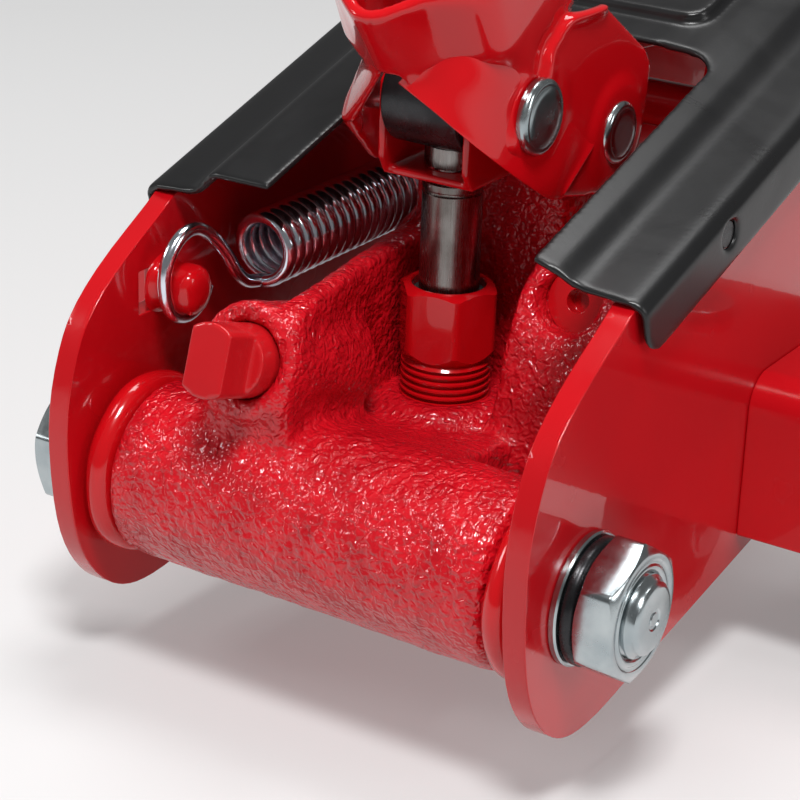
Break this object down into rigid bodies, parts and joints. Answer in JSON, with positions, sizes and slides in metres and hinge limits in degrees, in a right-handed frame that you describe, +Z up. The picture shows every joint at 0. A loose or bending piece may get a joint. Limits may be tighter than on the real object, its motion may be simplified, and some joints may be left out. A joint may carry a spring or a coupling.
{
  "type": "trolley jack",
  "caption": "Low hydraulic trolley jack: rear pump with tilting handle socket, side-plate frame on casters and wheels, and a levelled lifting arm with a swivelling saddle.",
  "frame": {"origin": "on the floor, at the middle of the overall length and width", "axes": "+X from the pump end towards the saddle, +Y to the left seen from behind the pump, +Z up"},
  "size_m": [0.5156, 0.2126, 0.1616],
  "materials": {
    "red_paint": "gloss",
    "red_casting": "glossy paint over rough casting",
    "black_paint": "satin",
    "zinc_plate": "clear zinc plating",
    "ground_steel": "ground, oiled",
    "spring_steel": "polished plating",
    "wheel_steel": "semi-gloss",
    "rubber": "matt"
  },
  "bodies": {
    "frame": {"side_plate_left": "red_paint", "side_plate_right": "red_paint", "through_bolt": "zinc_plate", "bolt_washers": "zinc_plate", "lock_washer": "zinc_plate", "through_nut": "zinc_plate", "barrel_spacers": "red_paint", "tie_bar": "red_paint", "arm_pivot_shaft": "ground_steel", "pivot_retaining_rings": "zinc_plate", "link_anchor_pins": "zinc_plate", "front_axle": "ground_steel", "axle_washers": "zinc_plate", "axle_retaining_nuts": "zinc_plate", "caster_hood_left": "red_paint", "caster_hood_right": "red_paint", "caster_kingpins": "zinc_plate", "top_cover": "black_paint", "cover_rivets": "zinc_plate"},
    "power_unit": {"pump_housing": "red_casting", "overload_plug": "red_paint", "seal_rings": "rubber", "pump_gland_nut": "red_paint", "check_valve_balls": "ground_steel", "ram_cylinder": "ground_steel", "oil_tank": "red_paint", "tank_end_nut": "red_paint", "filler_plug": "rubber"},
    "release_valve": {"release_valve_stem": "red_paint"},
    "ram": {"ram": "ground_steel", "ram_cup_seal": "rubber", "ram_clevis": "red_paint", "ram_pin": "ground_steel", "spring_anchor": "red_paint", "return_spring": "spring_steel"},
    "pump_plunger": {"pump_plunger": "ground_steel"},
    "handle_socket": {"handle_socket": "red_paint", "roller_pin": "zinc_plate", "socket_pivot_pin": "zinc_plate"},
    "plunger_yoke": {"plunger_yoke": "red_paint"},
    "pump_roller": {"pump_roller": "ground_steel"},
    "lift_arm": {"lift_arm_plate_left": "red_paint", "lift_arm_plate_right": "red_paint", "arm_pivot_tube": "red_paint", "arm_crank": "red_paint", "arm_top_web": "red_paint", "saddle_pin": "zinc_plate"},
    "level_links": {"level_links": "red_paint"},
    "saddle_bracket": {"saddle_bracket": "red_paint", "link_front_pin": "zinc_plate"},
    "saddle": {"saddle_cup": "black_paint", "saddle_retaining_ring": "zinc_plate"},
    "caster_left": {"caster_fork_left": "zinc_plate", "caster_axle_left": "zinc_plate"},
    "caster_right": {"caster_fork_right": "zinc_plate", "caster_axle_right": "zinc_plate"},
    "caster_wheel_left": {"caster_wheel_left": "wheel_steel"},
    "caster_wheel_right": {"caster_wheel_right": "wheel_steel"},
    "front_wheel_left": {"front_wheel_left": "wheel_steel"},
    "front_wheel_right": {"front_wheel_right": "wheel_steel"}
  },
  "joints": [
    {"name": "power_unit_rock", "type": "hinge", "parent": "frame", "child": "power_unit", "pos_m": [-0.23525, 0, 0.042], "axis": [0, -1, 0], "range_deg": [-0.4, 0]},
    {"name": "release_valve_turn", "type": "hinge", "parent": "power_unit", "child": "release_valve", "pos_m": [-0.24324, 0.016, 0.0733], "axis": [-0.9532, 0, 0.3024], "range_deg": [0, 360]},
    {"name": "handle_pump", "type": "hinge", "parent": "power_unit", "child": "handle_socket", "pos_m": [-0.17175, 0, 0.108], "axis": [0, -1, 0], "range_deg": [-5, 37]},
    {"name": "plunger_stroke", "type": "slide", "parent": "power_unit", "child": "pump_plunger", "axis": [0, 0, 1], "range_m": [-0.0207, 0.003]},
    {"name": "yoke_swing", "type": "hinge", "parent": "handle_socket", "child": "plunger_yoke", "pos_m": [-0.20225, 0, 0.118], "axis": [0, -1, 0], "range_deg": [-37.5, 5.5]},
    {"name": "pump_roller_spin", "type": "hinge", "parent": "handle_socket", "child": "pump_roller", "pos_m": [-0.20225, 0, 0.118], "axis": [0, 1, 0], "continuous": true},
    {"name": "lift_arm_raise", "type": "hinge", "parent": "frame", "child": "lift_arm", "pos_m": [-0.04525, 0, 0.11], "axis": [0, -1, 0], "range_deg": [0, 49]},
    {"name": "ram_stroke", "type": "slide", "parent": "power_unit", "child": "ram", "axis": [1, 0, 0], "range_m": [0, 0.0446], "deforming": ["return_spring"]},
    {"name": "level_link_swing", "type": "hinge", "parent": "frame", "child": "level_links", "pos_m": [-0.03535, 0, 0.0785], "axis": [0, -1, 0], "range_deg": [0, 49.2]},
    {"name": "saddle_bracket_level", "type": "hinge", "parent": "lift_arm", "child": "saddle_bracket", "pos_m": [0.20289, 0, 0.07953], "axis": [0, -1, 0], "range_deg": [-49.2, 0]},
    {"name": "saddle_swivel", "type": "hinge", "parent": "saddle_bracket", "child": "saddle", "pos_m": [0.21279, 0, 0.112], "axis": [0, 0, 1], "continuous": true},
    {"name": "caster_swivel_left", "type": "hinge", "parent": "frame", "child": "caster_left", "pos_m": [-0.14225, 0.0795, 0.042], "axis": [0, 0, 1], "continuous": true},
    {"name": "caster_swivel_right", "type": "hinge", "parent": "frame", "child": "caster_right", "pos_m": [-0.14225, -0.0795, 0.042], "axis": [0, 0, 1], "continuous": true},
    {"name": "caster_wheel_spin_left", "type": "hinge", "parent": "caster_left", "child": "caster_wheel_left", "pos_m": [-0.15024, 0.0795, 0.017], "axis": [0, 1, 0], "continuous": true},
    {"name": "caster_wheel_spin_right", "type": "hinge", "parent": "caster_right", "child": "caster_wheel_right", "pos_m": [-0.15024, -0.0795, 0.017], "axis": [0, 1, 0], "continuous": true},
    {"name": "front_wheel_spin_left", "type": "hinge", "parent": "frame", "child": "front_wheel_left", "pos_m": [0.18476, 0.068, 0.028], "axis": [0, 1, 0], "continuous": true},
    {"name": "front_wheel_spin_right", "type": "hinge", "parent": "frame", "child": "front_wheel_right", "pos_m": [0.18476, -0.068, 0.028], "axis": [0, 1, 0], "continuous": true}
  ],
  "couplings": [
    {"joint": "ram_stroke", "follows": "lift_arm_raise", "m_per_rad": 0.051917},
    {"joint": "level_link_swing", "follows": "lift_arm_raise", "ratio": 1},
    {"joint": "saddle_bracket_level", "follows": "lift_arm_raise", "ratio": -1},
    {"joint": "plunger_stroke", "follows": "handle_pump", "m_per_rad": -0.03159},
    {"joint": "yoke_swing", "follows": "handle_pump", "ratio": -1}
  ]
}
